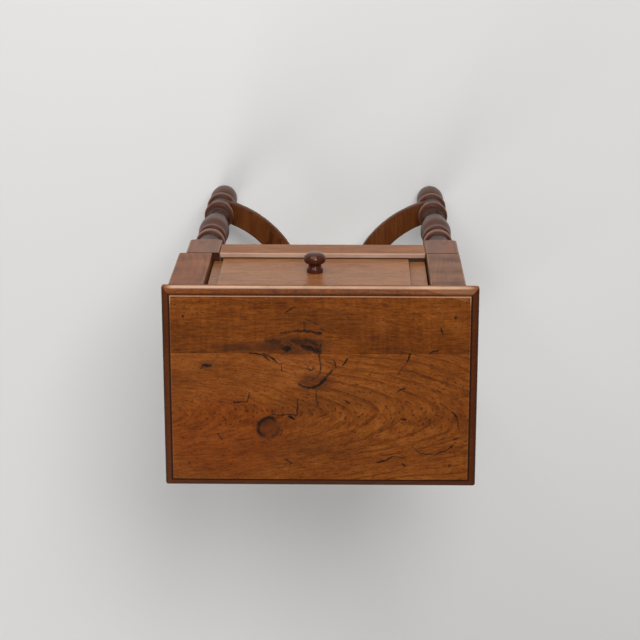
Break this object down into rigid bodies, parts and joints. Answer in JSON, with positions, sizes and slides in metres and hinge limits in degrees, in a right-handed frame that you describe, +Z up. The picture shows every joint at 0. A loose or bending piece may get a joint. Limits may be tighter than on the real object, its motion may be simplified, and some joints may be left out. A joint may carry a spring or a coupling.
{
  "type": "side table",
  "caption": "Small wooden side table with a moulded top, a deep drawer with a turned knob, turned baluster legs and a low bowed stretcher.",
  "frame": {"origin": "on the floor, under the middle of the table's outline with the knob", "axes": "+Z up, -Y out of the drawer front, +X to the right when facing the drawer"},
  "size_m": [0.419, 0.2968, 0.673],
  "materials": {
    "oiled_top": "worn satin oil finish over warm brown walnut-like wood",
    "oiled_case": "satin, lighter and duller brown on the drawer front and case",
    "turned_leg": "dark red-brown, glossy on the turnings",
    "bare_inside": "bare secondary wood",
    "dark_screw": "dull steel"
  },
  "bodies": {
    "frame": {"back_panel": "oiled_case", "corner_post_front_left": "oiled_case", "corner_post_front_right": "oiled_case", "corner_post_rear_left": "oiled_case", "corner_post_rear_right": "oiled_case", "crossbar_peg_left": "bare_inside", "crossbar_peg_right": "bare_inside", "drawer_guide_left": "bare_inside", "drawer_guide_right": "bare_inside", "drawer_runner_left": "bare_inside", "drawer_runner_right": "bare_inside", "drawer_stop_left": "bare_inside", "drawer_stop_right": "bare_inside", "front_rail": "oiled_case", "front_top_rail": "oiled_case", "leg_front_left": "turned_leg", "leg_front_right": "turned_leg", "leg_rear_left": "turned_leg", "leg_rear_right": "turned_leg", "post_dowel_front_left": "bare_inside", "post_dowel_front_right": "bare_inside", "post_dowel_rear_left": "bare_inside", "post_dowel_rear_right": "bare_inside", "rear_rail": "oiled_case", "side_panel_left": "oiled_case", "side_panel_right": "oiled_case", "side_rail_left": "oiled_case", "side_rail_right": "oiled_case", "stretcher_bow_left": "turned_leg", "stretcher_bow_right": "turned_leg", "stretcher_crossbar": "turned_leg", "stretcher_peg_front_left": "bare_inside", "stretcher_peg_front_right": "bare_inside", "stretcher_peg_rear_left": "bare_inside", "stretcher_peg_rear_right": "bare_inside", "top_board_front": "oiled_top", "top_board_rear": "oiled_top", "top_screw_front_left": "dark_screw", "top_screw_front_right": "dark_screw", "top_screw_rear_left": "dark_screw", "top_screw_rear_right": "dark_screw", "top_tie_front": "bare_inside", "top_tie_rear": "bare_inside"},
    "drawer": {"drawer_back": "bare_inside", "drawer_bottom": "bare_inside", "drawer_front": "oiled_case", "drawer_knob": "turned_leg", "drawer_side_left": "bare_inside", "drawer_side_right": "bare_inside", "knob_screw": "dark_screw"}
  },
  "joints": [
    {"name": "drawer_slide", "type": "slide", "parent": "frame", "child": "drawer", "axis": [0, -1, 0], "range_m": [0, 0.16]}
  ]
}
